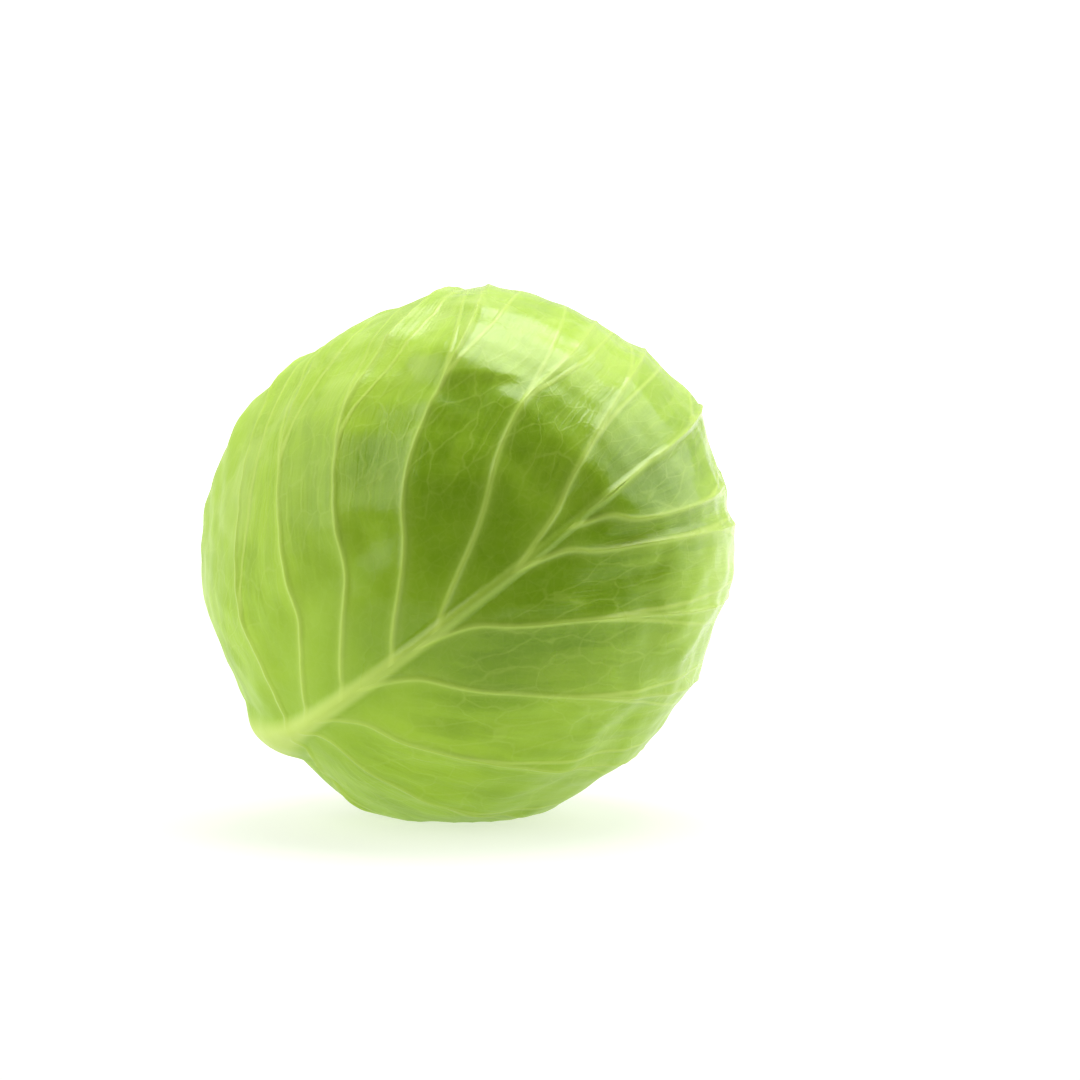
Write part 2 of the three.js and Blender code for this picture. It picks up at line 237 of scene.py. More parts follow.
def margin_at(leaf, bearing):
    """Reach of the margin: side, plus a rounded tip, plus four sine waves, less one bay."""
    turn = np.radians(bearing)
    wave = (1.3 * np.sin(5 * turn + leaf["seed"]) + 0.9 * np.sin(11 * turn + 2 * leaf["seed"])
            + 0.6 * np.sin(26 * turn + leaf["seed"]) + 0.35 * np.sin(43 * turn))
    bay, depth, width = leaf["dent"]
    tip = leaf["tip"] * ((1 + np.cos(turn)) / 2) ** 3.5
    return leaf["side"] + tip + wave - depth * bell(bearing - bay, width)


def cover_by(leaf, dirs):
    """1 on the leaf, falling smoothly to 0 past its margin."""
    x, y = to_chart(leaf["chart"], dirs)
    past = np.hypot(x, y) - margin_at(leaf, np.degrees(np.arctan2(x, y)))
    return 1 - smooth(past - COVER_REACH, 0, COVER_FALL)


def settle(dirs, index):
    """Radius of what a leaf lies on, and how free its outside is of other leaves and the floor."""
    covers = np.array([cover_by(leaf, dirs) for leaf in LEAVES])
    base = heart_radius(dirs)
    down = np.maximum(-dirs[..., 2], FLOOR_REACH)
    room = np.where(dirs[..., 2] < -FLOOR_REACH,
                    REST_HEIGHT / down - LAYER * covers.sum(0) - base, 1.0)
    radius = base + np.minimum(room, 0) + LAYER * covers[:index].sum(0)
    return radius, np.prod(1 - covers[index + 1:], axis=0) * smooth(room, 0, FREE_ROOM)


print(f"the outermost leaf reaches {margin_at(outermost, 0.0):.0f} degrees towards its tip")

# %% [markdown]
# ## One leaf
# The grid of a leaf runs along the rib in one direction and out along the side veins in the other.
# The two halves share the rib, and meet again on the line from its fork to the tip. The blade is a
# closed sheet: an outer and an inner face, and a rim along the margin and the cut of the stalk.

# %% Leaf sizes
STALK_HALF_WIDTH = 0.0058
STALK_RISE = 0.0022
STALK_LENGTH = 16.0              # degrees along the leaf
STALK_END = 7.0                  # degrees over which the end of the stalk is rounded
RIB_HALF_WIDTH = 0.0032
RIB_RISE = 0.0024
RIB_TIP_HALF_WIDTH = 0.0005
RIB_TIP_RISE = 0.0003
RIB_SPREAD = 1.7                 # how much wider the soft foot of the rib is than its firm body
LEAF_LENGTH = 205.0              # degrees from the cut of the stalk to the tip
CREST_RISE = 0.0013              # how far the blade stands up at the side veins
MARGIN_LIFT = 0.0010
VEIN_RISE = 0.0006
VEIN_SINKS = 0.0060              # rise of the rib at which a vein would be lost in it
VEIN_HALF_WIDTH = 0.0010
PANEL_RISE = 0.0006              # uneven bulges of the blade between the veins
FOLD_VEIN = 0.5                  # the left side vein along which the blade is folded up
FOLD_RISE = {"wrapper_leaf_1": 0.0013, "wrapper_leaf_3": 0.0010}
CREASE_SHARE = 0.8               # height of the crease that leaves the fold half way out
SWELL_SHARE = 1.2                # and of the swell of the panel past the fold
BRANCH_HALF_WIDTH = 0.0008
BRANCH_START = np.array([0.34, 0.22, 0.46, 0.3, 0.4])     # how far out the side veins fork
BRANCH_SHARE = np.array([0.42, 0.36, 0.5, 0.44, 0.38])    # and how far across the forks drift


def rib_shape(x, y):
    """Distance off the rib over its half-width, and its rise: a power of 1 - off^2 across, fuller
    at the stalk, times a quarter of a circle along the rounded end of the stalk."""
    away = np.maximum(np.hypot(x, y), 1)
    scale = np.radians(1) * OUTSIDE * np.sin(np.radians(away)) / np.radians(away)
    across = (x - curve_through(MIDRIB, y)[..., 0]) * scale
    along = np.clip((y - MIDRIB[0][0]) / LEAF_LENGTH, 0, 1)
    stalk = bell(y - MIDRIB[0][0], STALK_LENGTH)
    half_width = (RIB_TIP_HALF_WIDTH + RIB_HALF_WIDTH * (1 - along) ** 1.5
                  + STALK_HALF_WIDTH * stalk)
    rise = RIB_TIP_RISE + RIB_RISE * (1 - along) ** 1.3 + STALK_RISE * stalk
    end = np.clip((y - MIDRIB[0][0]) / STALK_END, 0, 1)
    off = across / (half_width * (RIB_SPREAD - 0.25 * stalk))
    return off, (rise * np.sqrt(1 - (1 - end) ** 2)
                 * np.maximum(0, 1 - off ** 2) ** (2 - 1.2 * stalk))


def vein_point(leaf, veins, u, s):
    """Chart place: the cubic through the vein's start, its two points and its end in the margin.
    Close to the rib it runs ahead along the rib, by q e^(1-q) of the square of s over 0.1."""
    rib_y = MIDRIB[0][0] + (RIB_FORK - MIDRIB[0][0]) * u
    bearing, x1, y1, x2, y2 = np.moveaxis(curve_through(veins, u), -1, 0)
    end, turn = margin_at(leaf, bearing), np.radians(bearing)
    weights = ((1 - s) * (1 - 1.5 * s) * (1 - 3 * s), 9 * s * (1 - s) * (1 - 1.5 * s),
               -4.5 * s * (1 - s) * (1 - 3 * s), s * (1 - 1.5 * s) * (1 - 3 * s))
    xs = (curve_through(MIDRIB, rib_y)[..., 0], x1, x2, end * np.sin(turn))
    ys = (rib_y, y1, y2, end * np.cos(turn))
    x = sum(w * place for w, place in zip(weights, xs))
    y = sum(w * place for w, place in zip(weights, ys))
    q = (s / 0.1) ** 2
    ahead = VEIN_AHEAD * q * np.exp(1 - q) * smooth(u, 0, 0.25)
    slope = curve_through(MIDRIB, rib_y)[..., 0] - curve_through(MIDRIB, rib_y - 1.0)[..., 0]
    return x + slope * ahead, y + ahead


def blade_lift(leaf, veins, u, s):
    """Crests at the side veins, a power of the distance from mid-panel, and a margin with three
    sine waves of the bearing."""
    keys = np.array([vein[0] for vein in veins])
    i = np.clip(np.searchsorted(keys, u, side="left") - 1, 0, len(keys) - 2)
    between = (u - keys[i]) / (keys[i + 1] - keys[i])
    between = np.where(i == 0, (1 + between) / 2, between)
    crest = CREST_RISE * np.abs(2 * between - 1) ** 1.6 * smooth(s, 0.02, 0.3)
    turn = np.radians(curve_through(veins, u)[..., 0])
    wave = (0.5 + 0.5 * np.sin(8 * turn + leaf["seed"]) + 0.4 * np.sin(19 * turn)
            + 0.4 * np.sin(33 * turn + 2 * leaf["seed"]))
    return crest + MARGIN_LIFT * wave * smooth(s, 0.8, 1)


def fold_lift(leaf, veins, u, s):
    """Rise of the fold: a bell of u up to the fold vein and a sharp drop past it, most at 0.7 of
    the way out and pressed down at the margin. The next panel has a crease across it, which falls
    off outwards as a power of e and inwards as a bell, and a swell near its margin."""
    rise = FOLD_RISE.get(leaf["name"], 0.0) if veins is LEFT_VEINS else 0.0
    past = u - FOLD_VEIN
    fold = np.where(past < 0, bell(past, 0.07), 1 - smooth(past, 0.0, 0.005))
    crease_at = 0.5 + 0.4 * past
    ridge = np.where(s > crease_at, np.exp(-np.abs(s - crease_at) / 0.14),
                     bell(s - crease_at, 0.04))
    reach = smooth(past, -0.004, 0.006) * (1 - smooth(past, 0.05, 0.085))
    swell = bell(past - 0.05, 0.035) * smooth(s, 0.6, 0.88)
    return rise * (fold * smooth(s, 0.42, 0.7) * (1 - 2 * smooth(s, 0.72, 0.92))
                   + CREASE_SHARE * ridge * reach + SWELL_SHARE * swell)


# %% [markdown]
# The rows crowd together at the veins, where the blade turns sharply, and spread out between them.


# %% Rows and columns of the grid
COARSE = 3                       # the inner face has every third row and column only
MARGIN_RADIUS = 0.085            # radius at which the spread between rows is measured
RIB_REACH = 0.19                 # length of the rib from the cut of the stalk to its fork
CROWDING = 0.6                   # share by which the rows are drawn towards the veins


def rows_along(step):
    """Row places: each stretch between veins is cut evenly, then drawn towards its two ends by a
    sine wave."""
    keys = sorted({vein[0] for vein in LEFT_VEINS + RIGHT_VEINS})
    rows = []
    for low, high in zip(keys, keys[1:]):
        ends = [curve_through(veins, np.array([low, high]))[:, 0]
                for veins in (LEFT_VEINS, RIGHT_VEINS)]
        fan = max(abs(end[1] - end[0]) for end in ends) * np.radians(1) * MARGIN_RADIUS
        count = int(np.ceil(max(fan, (high - low) * RIB_REACH) / step / COARSE) + 1) * COARSE
        t = np.arange(count) / count
        rows += list(low + (high - low) * (t - CROWDING * np.sin(2 * np.pi * t) / (2 * np.pi)))
    return np.array(rows + [1.0])


def columns_across(count):
    """Column places from the rib out: evenly spaced numbers raised to the power 1.4."""
    return (np.arange(count + 1) / count) ** 1.4


FINENESS = {"wrapper_leaf_1": (0.0017, 141), "wrapper_leaf_2": (0.0017, 141),
            "wrapper_leaf_3": (0.0022, 111), "wrapper_leaf_4": (0.0028, 90),
            "wrapper_leaf_5": (0.0028, 90)}      # step between rows, and columns in each half
print(len(rows_along(FINENESS["wrapper_leaf_1"][0])), "rows on the outermost leaf")

# %% [markdown]
# The blade between the veins is not even. It bulges, and smaller veins branch off the side veins.
# The bulges are a sum of waves, and the branches are masks: how far a point is from the middle of
# a branch. They are worked out for the finish here, while the grid is at hand.


# %% Bulges, panels and branches
def bulges(dirs, seed):
    """Sum of ten sine waves over the ball, in directions drawn from a seeded generator."""
    draw = np.random.default_rng(seed)
    total = np.zeros(dirs.shape[:-1])
    for _ in range(10):
        way = draw.normal(size=3)
        way *= draw.uniform(14, 58) / np.linalg.norm(way)
        total += np.sin(dirs @ way + draw.uniform(0, 2 * np.pi)) / 8
    return total


def panel_place(leaf, veins, u, s, points):
    """The panel that each row lies in, and its distances square to the veins on its two sides."""
    keys = np.array([vein[0] for vein in veins])
    panel = np.clip(np.searchsorted(keys, u[:, 0], side="left") - 1, 0, len(keys) - 2)
    x, y = vein_point(leaf, veins, np.repeat(keys[:, None], s.shape[1], 1),
                      np.repeat(s[:1], len(keys), 0))
    lines = from_chart(leaf["chart"], x, y) * OUTSIDE
    ahead = np.gradient(lines, axis=1)
    ahead /= np.maximum(np.linalg.norm(ahead, axis=-1, keepdims=True), 1e-12)
    found = []
    for near in (panel, panel + 1):
        apart = points - lines[near]
        apart -= (apart * ahead[near]).sum(-1, keepdims=True) * ahead[near]
        found.append(np.linalg.norm(apart, axis=-1))
    return np.repeat(panel[:, None], s.shape[1], 1), found[0], found[1]


def branch_masks(panel, low, high, s):
    """Two branches in each panel: signed distance over half-width, and where they are there. Each
    leaves its side vein at its start and drifts across by a smooth step of s."""
    wide = np.maximum(low + high, 1e-6)
    place = low / wide
    masks = {}
    for name, shift, base, side in (("branch", 0, 0, 1), ("twig", 2, 1, -1)):
        start = BRANCH_START[(panel + shift) % len(BRANCH_START)] + 0.12 * (shift > 0)
        share = BRANCH_SHARE[(panel + shift) % len(BRANCH_SHARE)]
        drift = smooth(s, start, 1.15) ** 0.75
        width = BRANCH_HALF_WIDTH * (1.2 - 0.5 * s)
        masks[name] = np.clip((place - base - side * share * drift) * wide / width, -9, 9)
        masks[name + "_on"] = smooth(s, start, start + 0.06) * (panel > 0)
    return masks


# %% One half of a leaf
def leaf_half(leaf, index, veins, rows, columns):
    """Points of one half on a grid of rows and columns, outer and inner, with its vein masks."""
    u = np.repeat(rows[:, None], len(columns), 1)
    s = np.repeat(columns[None, :], len(rows), 0)
    x, y = vein_point(leaf, veins, u, s)
    dirs = from_chart(leaf["chart"], x, y)
    radius, free = settle(dirs, index)
    off, rib = rib_shape(x, y)
    panel, to_low, to_high = panel_place(leaf, veins, u, s, dirs * OUTSIDE)
    to_vein = np.minimum(np.where(panel == 0, 1.0, to_low), to_high)
    vein_width = VEIN_HALF_WIDTH * (1 - 0.5 * s)
    vein = VEIN_RISE * (1 - 0.6 * s) * bell(to_vein, vein_width) * smooth(s, 0, 0.03)
    uneven = PANEL_RISE * bulges(dirs, leaf["seed"]) * smooth(s, 0.02, 0.15)
    low = radius + LAYER_GAP + free * (blade_lift(leaf, veins, u, s) + uneven
                                       + fold_lift(leaf, veins, u, s))
    high = low + BLADE + free * (rib + vein * (1 - rib / VEIN_SINKS))
    count = panel + to_low / np.maximum(to_low + to_high, 1e-6)
    return dict(outer=dirs * high[..., None] + middle, inner=dirs * low[..., None] + middle,
                rib=np.clip(np.abs(off), 0, 4), vein=np.clip(to_vein / vein_width, 0, 8),
                along=u, out=s, panel=count * 8 / (len(veins) - 1),
                **branch_masks(panel, to_low, to_high, s))


# %% [markdown]
# The inner face is hardly seen, so it takes every third row and column, and the rim joins it to the
# fine outer face. Vertices that no face uses are dropped. The masks go into the mesh as attributes,
# so that the finish can follow the veins exactly.


# %% Put arrays into a mesh
def new_mesh(name, points, face_lists, values):
    """A smooth object at the origin, with the points that its faces use and a value for each."""
    used = np.zeros(len(points), bool)
    for faces in face_lists:
        used[faces.ravel()] = True
    fresh = np.cumsum(used) - 1
    corners = np.concatenate([fresh[faces].ravel() for faces in face_lists])
    sizes = np.concatenate([np.full(len(faces), faces.shape[1]) for faces in face_lists])
    mesh = bpy.data.meshes.new(name)
    mesh.vertices.add(int(used.sum()))
    mesh.vertices.foreach_set("co", points[used].astype(np.float32).ravel())
    mesh.loops.add(len(corners))
    mesh.loops.foreach_set("vertex_index", corners.astype(np.int32))
    mesh.polygons.add(len(sizes))
    starts = np.concatenate([[0], np.cumsum(sizes)[:-1]])
    mesh.polygons.foreach_set("loop_start", starts.astype(np.int32))
    mesh.polygons.foreach_set("use_smooth", np.ones(len(sizes), bool))
    mesh.update(calc_edges=True)
    for key, value in values.items():
        layer = mesh.attributes.new(key, "FLOAT", "POINT")
        layer.data.foreach_set("value", value[used].astype(np.float32))
    mesh.validate()
    piece = bpy.data.objects.new(name, mesh)
    bpy.context.collection.objects.link(piece)
    print(f"{name}: {int(used.sum())} vertices, {int((sizes - 2).sum())} triangles")
    return piece


# %% Build a leaf
def join_halves(left, right, name):
    """One row from the right margin over the rib to the left margin. The rib is taken once."""
    return np.concatenate([right[name][:, :0:-1], left[name]], axis=1)


def squares(ids, turned):
    """Four corners of every square of a grid, the other way round if turned."""
    a, b, c, d = ids[:-1, :-1], ids[:-1, 1:], ids[1:, 1:], ids[1:, :-1]
    return np.stack([a, d, c, b] if turned else [a, b, c, d], -1).reshape(-1, 4)


def build_leaf(leaf, index, step, columns):
    """Both halves as one grid, twice: the outer face, and the inner face with its faces turned.
    The two runs of points from the fork to the tip are made one. Each face of the rim joins COARSE
    edges of the outer face to one of the inner."""
    rows, across = rows_along(step), columns_across(columns)
    left = leaf_half(leaf, index, LEFT_VEINS, rows, across)
    right = leaf_half(leaf, index, RIGHT_VEINS, rows, across)
    grids = {name: join_halves(left, right, name) for name in left}
    row_count, wide = grids["out"].shape
    ids = np.arange(row_count * wide).reshape(row_count, wide)
    ids[-1, :columns] = ids[-1, :columns:-1]
    count = row_count * wide
    turned = leaf["flip"] > 0
    outside = squares(ids, turned)
    inside = squares(ids[::COARSE, ::COARSE] + count, not turned)
    edge = np.concatenate([ids[::-1, 0], ids[0, 1:], ids[1:, -1]])
    starts = np.arange(0, len(edge) - 1, COARSE)
    rim = np.stack([edge[starts + n] for n in range(COARSE, -1, -1)]
                   + [edge[starts] + count, edge[starts + COARSE] + count], -1)
    if turned:
        rim = rim[:, ::-1]
    points = np.concatenate([grids.pop("outer").reshape(-1, 3),
                             grids.pop("inner").reshape(-1, 3)])
    values = {name: np.tile(grid.ravel(), 2) for name, grid in grids.items()}
    return new_mesh(leaf["name"] + "_blade", points, [outside, inside, rim], values)


leaf_pieces = {}
for index, leaf in enumerate(LEAVES):
    leaf_pieces[leaf["name"]] = build_leaf(leaf, index, *FINENESS[leaf["name"]])


# %% [markdown]
# ## Finishes
# A small class wraps a node socket, so that shader sums read like sums.


# %% Shader maths
class Wire:
    """A socket of a material's node tree, with arithmetic that adds Math nodes."""

    def __init__(self, tree, socket):
        self.tree = tree
        self.socket = socket

    def node(self, kind, settings=None, **inputs):
        """A new node: its settings first, then the values or wires of its sockets."""
        made = self.tree.nodes.new(kind)
        for key, value in (settings or {}).items():
            setattr(made, key, value)
        for key, value in inputs.items():
            place = int(key[1:]) if key[0] == "i" and key[1:].isdigit() else key.replace("_", " ")
            socket = made.inputs[place]
            if isinstance(value, Wire):
                self.tree.links.new(value.socket, socket)
            else:
                socket.default_value = value
        return made

    def wire(self, socket):
        return Wire(self.tree, socket)

    def math(self, operation, *values):
        made = self.node("ShaderNodeMath", {"operation": operation},
                         **{f"i{n}": value for n, value in enumerate(values)})
        return self.wire(made.outputs[0])

    def __add__(self, other):
        return self.math("ADD", self, other)

    def __radd__(self, other):
        return self.math("ADD", other, self)

    def __sub__(self, other):
        return self.math("SUBTRACT", self, other)

    def __rsub__(self, other):
        return self.math("SUBTRACT", other, self)

    def __mul__(self, other):
        return self.math("MULTIPLY", self, other)

    def __rmul__(self, other):
        return self.math("MULTIPLY", other, self)

    def size(self):
        """The value without its sign."""
        return self.math("ABSOLUTE", self)

    def fade(self, low, high):
        """0 at low and 1 at high, smooth between; low may be the larger."""
        made = self.node("ShaderNodeMapRange", {"interpolation_type": "SMOOTHSTEP"},
                         Value=self, From_Min=low, From_Max=high)
        return self.wire(made.outputs[0])

    def blend(self, first, second):
        """Colour that goes from first to second as this wire goes from 0 to 1."""
        made = self.node("ShaderNodeMix", {"data_type": "RGBA"})
        for place, value in ((0, self), (6, first), (7, second)):
            if isinstance(value, Wire):
                self.tree.links.new(value.socket, made.inputs[place])
            else:
                made.inputs[place].default_value = value
        return self.wire(made.outputs[2])

    def attribute(self, key):
        """A value that the mesh holds at each of its points."""
        made = self.node("ShaderNodeAttribute", {"attribute_name": key})
        return self.wire(made.outputs["Fac"])

    def spot(self, x, y):
        """The place with these two parts, for a flat pattern."""
        return self.wire(self.node("ShaderNodeCombineXYZ", None, X=x, Y=y).outputs[0])

    def noise(self, scale, detail=2.0, roughness=0.5, dimensions="3D"):
        """Clouds from 0 to 1 at this place."""
        made = self.node("ShaderNodeTexNoise", {"noise_dimensions": dimensions}, Vector=self,
                         Scale=scale, Detail=detail, Roughness=roughness)
        return self.wire(made.outputs[0])

    def net(self, scale, width, dimensions="3D"):
        """1 on the lines of a net of cells and 0 past their width."""
        made = self.node("ShaderNodeTexVoronoi", {"feature": "DISTANCE_TO_EDGE",
                                                  "voronoi_dimensions": dimensions},
                         Vector=self, Scale=scale)
        return self.wire(made.outputs["Distance"]).fade(width, 0.0)

    def feeds(self, shader, key):
        """Link to a socket of the shader."""
        self.tree.links.new(self.socket, shader.inputs[key])


def new_finish(name):
    """An empty material, its shader and a wire to its object coordinates."""
    material = bpy.data.materials.new(name)
    material.use_nodes = True
    tree = material.node_tree
    shader = tree.nodes["Principled BSDF"]
    place = Wire(tree, tree.nodes.new("ShaderNodeTexCoord").outputs["Object"])
    return material, shader, place


def tint(red, green, blue):
    """Linear colour of a display colour given in 0 to 255."""
    share = np.array([red, green, blue]) / 255
    line = np.where(share <= 0.04045, share / 12.92, ((share + 0.055) / 1.055) ** 2.4)
    return (*(float(part) for part in line), 1.0)


print("leaf green in linear light", [round(part, 3) for part in tint(161, 197, 47)[:3]])

# %% [markdown]
# ## The waxy leaf
# A cabbage leaf is deep green near its rib and paler outwards, with a dull bloom of wax that rubs
# off in patches; towards the margin that pale bloom is also a painted sheen, the white shine of
# the leaf's edges put into its colour. Ribs, veins and branches are paler, and the smallest veins
# make a net. It could be painted as a picture, but a formula of the place on the leaf stays sharp
# and meets every vein.


# %% Leaf patterns
def leaf_lines(place, out, bend):
    """The net of small veins along the panels, a finer net, and the two branches of each panel."""
    panel = place.attribute("panel")
    net = place.spot(panel * 3.0 + bend * 1.1, out * 9.0 + bend * 1.5).net(1.0, 0.07, "2D")
    branch = place.attribute("branch").size().fade(1.6, 0.2) * place.attribute("branch_on")
    twig = place.attribute("twig").size().fade(1.4, 0.2) * place.attribute("twig_on")
    return (net * out.fade(0.08, 0.25), place.net(260.0, 0.1),
            branch.math("MAXIMUM", branch, twig * 0.8))


def leaf_green(place, out, along, bend, clouds, blade, deep, sheen_and_bloom_tint):
    """Deep green near the rib and in streaks and clouds, and outwards pale patches of wax bloom
    that are also a painted sheen.
    """
    core = out.fade(0.75, 0.2) * along.fade(0.26, 0.54)
    streaks = place.spot(place.attribute("panel") * 5.0 + bend, out * 3.5 + bend * 0.5)
    streaks = streaks.noise(1.0, 4.0, dimensions="2D").fade(0.4, 0.62) * out.fade(0.05, 0.25)
    depth = core * 0.8 + clouds.fade(0.35, 0.65) * 0.32 + streaks * 0.2 - 0.08
    # pale wax bloom growing towards the margin, which also stands in as a painted sheen
    bloom_and_sheen = (place.noise(42.0, 4.0, 0.6).fade(0.47, 0.58) * 0.24 + 0.1) * out.fade(0.4, 0.85)
    return bloom_and_sheen.blend(depth.blend(blade, deep), sheen_and_bloom_tint)


def leaf_relief(place, out, bend, net, fine, lines):
    """A Bump of the lines, grain, wrinkles of two sizes, and streaks out along the panels."""
    streaks = place.spot(place.attribute("panel") * 16.0 + bend * 2.0, out * 5.0)
    streaks = streaks.noise(1.0, 3.0, dimensions="2D") * out.fade(0.1, 0.3)
    height = (net * 0.14 + fine * 0.06 + lines * 0.9 + place.noise(900.0) * 0.07
              + place.noise(150.0, 3.0, 0.6) * 0.9 + streaks * 0.9 + place.noise(55.0) * 1.6)
    bump = place.node("ShaderNodeBump", None, Height=height, Strength=0.4, Distance=0.0005)
    return place.wire(bump.outputs[0])


# %% Leaf finish
def leaf_finish(name, blade, deep, sheen_and_bloom_tint, vein_tint, rib_tint):
    """Waxy leaf: its green, then the paler net, veins and rib over it, each by its own mask."""
    material, shader, place = new_finish(name)
    rib, vein, out, along = (place.attribute(key) for key in ("rib", "vein", "out", "along"))
    bend, clouds = place.noise(70.0), place.noise(30.0, 3.0, 0.55)
    net, fine, lines = leaf_lines(place, out, bend)
    mottle = place.noise(240.0, 5.0, 0.7).fade(0.38, 0.66)
    green = leaf_green(place, out, along, bend, clouds, blade, deep, sheen_and_bloom_tint)
    green = (net * 0.19 + fine * 0.06 + mottle * 0.08).blend(green, vein_tint)
    green = (vein.fade(4.5, 0.6) * 0.2).blend(green, vein_tint)
    green = (lines * 0.7).blend(green, vein_tint)
    green = (vein.fade(1.5, 0.3) * (0.6 - out * 0.15)).blend(green, vein_tint)
    green = (rib.fade(0.95, 0.3) * along.fade(1.1, 0.0)).blend(green, rib_tint)
    green.feeds(shader, "Base Color")
    rough = along.fade(0.55, 0.1) * 0.2 + clouds.fade(0.3, 0.7) * 0.06 + 0.22
    rough.feeds(shader, "Roughness")
    shader.inputs["IOR"].default_value = 1.37
    shader.inputs["Subsurface Weight"].default_value = 0.1
    shader.inputs["Subsurface Radius"].default_value = (0.003, 0.004, 0.001)
    shader.inputs["Subsurface Scale"].default_value = 1.0
    leaf_relief(place, out, bend, net, fine, lines).feeds(shader, "Normal")
    return material


# blade, deep green, wax bloom with painted sheen, veins and rib of the two finishes
outer_finish = leaf_finish("outer_leaf", tint(161, 197, 47), tint(114, 151, 4),
                           tint(196, 220, 128), tint(184, 210, 92), tint(196, 218, 104))
inner_finish = leaf_finish("inner_leaf", tint(170, 204, 92), tint(138, 180, 58),
                           tint(206, 226, 146), tint(198, 222, 130), tint(212, 230, 148))
for name, piece in leaf_pieces.items():
    outer = name in ("wrapper_leaf_1", "wrapper_leaf_2")
    piece.data.materials.append(outer_finish if outer else inner_finish)
    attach(piece, "root")
    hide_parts(name)
print(len(outer_finish.node_tree.nodes), "nodes in each leaf finish")

# %% [markdown]
# ## The cut stem
# The head was cut off its stem with a knife. The cut is a pale, slightly hollow disc: soft pith in
# the middle, a ring of woody strands, and a thin rind that browns. Inwards of it the stem widens
# into the leaf bases. A plain cylinder would look turned on a lathe, so it is a profile carried
# round the axis of the head, a little out of round.

# %% The cut stem
STEM_RADIUS = 0.0120
STEM_FACE = 0.0840               # from the middle of the head down to the cut
STEM_PROFILE = np.array([        # radius, and place along the axis, from inside the head outwards
    [0.0, 0.0700], [0.0120, 0.0700], [0.0180, 0.0735], [0.0186, 0.0765], [0.0168, 0.0790],
    [0.0142, 0.0808], [0.0125, 0.0822], [0.0120, 0.0830], [0.0117, 0.0837], [0.0110, 0.0840],
    [0.0096, 0.08385], [0.0070, 0.0836], [0.0035, 0.08345], [0.0, 0.0834]])


def stem_points(across, places):
    """Radius and place from the profile; the radius is swayed by two sine waves of the angle."""
    t = np.linspace(0, 1, places)[:, None] * (len(STEM_PROFILE) - 1)
    keyed = np.concatenate([np.arange(len(STEM_PROFILE))[:, None], STEM_PROFILE], axis=1)
    radius, place = np.moveaxis(curve_through(keyed, t), -1, 0)
    turn = np.linspace(0, 2 * np.pi, across, endpoint=False)[None, :]
    sway = 1 + 0.03 * np.sin(3 * turn + 1) + 0.015 * np.sin(7 * turn)
    radius = np.maximum(radius, 0) * sway
    out = np.cos(turn)[..., None] * level + np.sin(turn)[..., None] * upright
    place = np.repeat(place, across, axis=1)
    return middle - crown * place[..., None] + out * radius[..., None], radius, place


def build_stem(across=96, places=105):
    """The profile's grid closed round the axis, with a fan of triangles at each of its two ends."""
    points, radius, place = stem_points(across, places)
    ids = np.arange(places * across).reshape(places, across)
    ids[0], ids[-1] = ids[0, 0], ids[-1, 0]
    ids = np.concatenate([ids, ids[:, :1]], axis=1)
    a, b, c, d = ids[:-1, :-1], ids[:-1, 1:], ids[1:, 1:], ids[1:, :-1]
    body = np.stack([a, b, c, d], -1)[1:-1].reshape(-1, 4)
    caps = np.concatenate([np.stack([a, c, d], -1)[0], np.stack([a, b, c], -1)[-1]])
    values = {"ring": (radius / STEM_RADIUS).ravel(), "deep": (STEM_FACE - place).ravel() * 1000}
    return new_mesh("cut_stem", points.reshape(-1, 3), [body, caps], values)


stem_piece = build_stem()

# %% [markdown]
# The finish follows the radius: pith, strands, rind. On the side it goes green within a few
# millimetres.


# %% Stem finish
def stem_finish():
    """Pith, then a ring of strands, then rind, by the radius over the stem's, bent by clouds."""
    material, shader, place = new_finish("cut_stem")
    ring = place.attribute("ring") + (place.noise(220.0) - 0.5) * 0.12
    strands = ring.fade(0.6, 0.72) * ring.fade(0.88, 0.76)
    rind = ring.fade(0.88, 0.99)
    stain = place.noise(160.0, 4.0).fade(0.46, 0.64)
    pores = place.noise(900.0).fade(0.45, 0.6)
    colour = strands.blend(tint(240, 240, 208), tint(214, 224, 160))
    colour = (pores * strands * 0.5).blend(colour, tint(186, 196, 120))
    colour = (rind * 0.8).blend(colour, tint(198, 214, 138))
    colour = (stain * ring.fade(0.35, 1.0) * 0.5).blend(colour, tint(196, 170, 112))
    colour = place.attribute("deep").fade(0.8, 3.5).blend(colour, tint(206, 224, 140))
    colour.feeds(shader, "Base Color")
    shader.inputs["Roughness"].default_value = 0.5
    shader.inputs["Subsurface Weight"].default_value = 0.15
    shader.inputs["Subsurface Radius"].default_value = (0.003, 0.003, 0.0015)
    shader.inputs["Subsurface Scale"].default_value = 1.0
    relief = place.noise(700.0, 3.0) * 0.5 + place.noise(240.0) - strands * 0.3
    bump = place.node("ShaderNodeBump", None, Height=relief, Strength=0.5, Distance=0.0004)
    place.wire(bump.outputs[0]).feeds(shader, "Normal")
    return material


stem_piece.data.materials.append(stem_finish())
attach(stem_piece, "root")
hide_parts("stem")


# %% [markdown]
# ## The heart
# The heart stays as the solid has it, because the wrapper leaves close over it. Its finish is the
# pale yellow-green of leaves that no light has reached, with faint clouds.

# %% Heart finish
heart_material, heart_shader, heart_place = new_finish("heart")
heart_clouds = heart_place.noise(60.0, 3.0).fade(0.35, 0.65)
heart_clouds.blend(tint(214, 226, 150), tint(228, 234, 178)).feeds(heart_shader, "Base Color")
heart_shader.inputs["Roughness"].default_value = 0.4
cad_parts["heart"].data.materials.clear()
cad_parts["heart"].data.materials.append(heart_material)
print("heart finish:", heart_material.name)
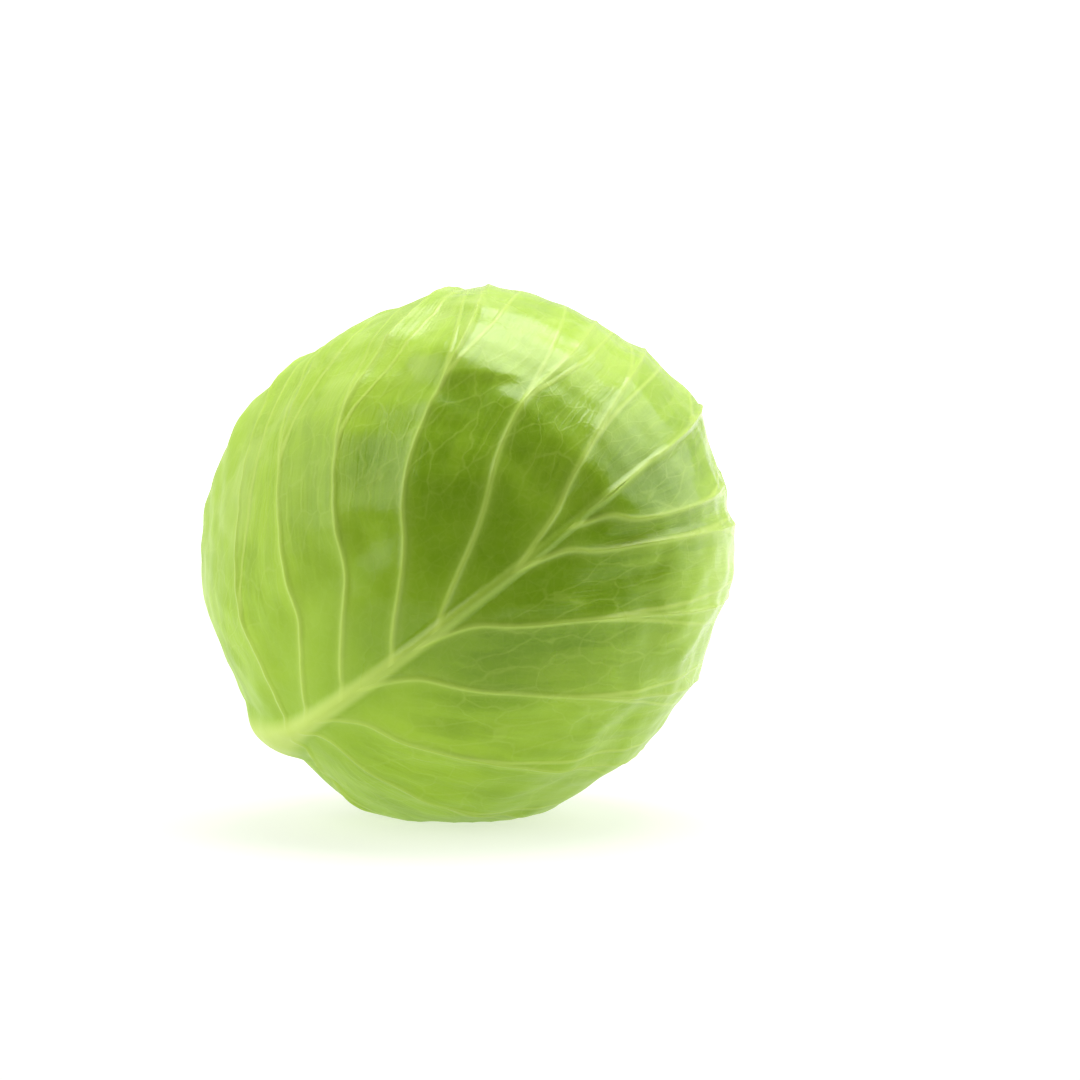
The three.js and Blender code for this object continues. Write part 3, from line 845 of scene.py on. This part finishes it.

# %% [markdown]
# ## Floor and light
# A studio picture on white: a pale floor, and big soft lights. White paper that is lit on its own
# washes out every shadow but the one right under the head. So the floor glows white away from the
# head, and near it glows dimmer, so that the cast shadow shows, and a little green: a painted green
# light from the leaves.

# %% Floor
FLOOR = 8.0                      # half of the floor's width, and its depth behind the head
FLOOR_FRONT = 0.34
# near the head: a dimmer glow, tinted with painted green light from the leaves
NEAR_GLOW_PAINTED_BOUNCE = (0.55, 0.57, 0.505, 1)
FAR_GLOW = (1, 1, 1, 1)
GLOW_NEAR, GLOW_FAR = 0.2, 1.2   # distance from the head at which it starts to grow and is full

floor_mesh = bpy.data.meshes.new("floor")
floor_mesh.from_pydata([(-FLOOR, -FLOOR_FRONT, 0), (FLOOR, -FLOOR_FRONT, 0),
                        (FLOOR, FLOOR, 0), (-FLOOR, FLOOR, 0)], [], [(0, 1, 2, 3)])
floor = bpy.data.objects.new("floor", floor_mesh)
bpy.context.collection.objects.link(floor)
floor_material, floor_shader, floor_place = new_finish("floor")
floor_shader.inputs["Base Color"].default_value = (0.4, 0.4, 0.4, 1)
floor_shader.inputs["Roughness"].default_value = 0.6
spread = floor_place.node("ShaderNodeVectorMath", {"operation": "LENGTH"}, i0=floor_place)
glow = floor_place.wire(spread.outputs["Value"]).fade(GLOW_NEAR, GLOW_FAR)
glow.blend(NEAR_GLOW_PAINTED_BOUNCE, FAR_GLOW).feeds(floor_shader, "Emission Color")
floor_shader.inputs["Emission Strength"].default_value = 1.1
floor_mesh.materials.append(floor_material)
print("floor", 2 * FLOOR, "m wide")


# %% Lights
def soft_light(name, place, size, glow):
    """A rectangular light turned towards the head. Its power is glow times pi times its area."""
    data = bpy.data.lights.new(name, "AREA")
    data.shape = "RECTANGLE"
    data.size, data.size_y = size
    data.energy = glow * np.pi * size[0] * size[1]
    light = bpy.data.objects.new(name, data)
    light.location = place
    light.rotation_euler = (Vector(middle) - Vector(place)).to_track_quat("-Z", "Y").to_euler()
    bpy.context.collection.objects.link(light)


soft_light("left_panel", (-1.3, -0.3, 0.85), (1.5, 1.4), 2.2)
soft_light("top_panel", (0.2, 0.35, 1.35), (1.2, 0.9), 5.6)
soft_light("right_panel", (1.3, 0.3, 0.75), (1.4, 1.2), 2.8)
print(len(bpy.data.lights), "soft lights")

# %% [markdown]
# The room round the head is lighter behind it than in front, so that the leaf that faces us keeps
# its depth while its edges shine. The camera itself sees plain white.

# %% Surroundings
FRONT_LIGHT = 0.23
BACK_LIGHT = 0.45                # how much lighter it is behind the head than in front
SEEN_WHITE = 1.05

world = bpy.data.worlds.new("studio")
bpy.context.scene.world = world
world.use_nodes = True
sky = world.node_tree
backdrop = sky.nodes["Background"]
facing = Wire(sky, sky.nodes.new("ShaderNodeTexCoord").outputs["Generated"])
parts = facing.node("ShaderNodeSeparateXYZ", None, Vector=facing)
behind = facing.wire(parts.outputs["Y"]).fade(-0.35, 0.15)
seen = facing.wire(facing.node("ShaderNodeLightPath").outputs["Is Camera Ray"])
strength = seen * SEEN_WHITE + (1 - seen) * (behind * BACK_LIGHT + FRONT_LIGHT)
sky.links.new(strength.socket, backdrop.inputs["Strength"])
backdrop.inputs["Color"].default_value = (1, 1, 1, 1)
bpy.context.scene.view_settings.view_transform = "Standard"
print("light in front", FRONT_LIGHT, "and behind", round(FRONT_LIGHT + BACK_LIGHT, 2))
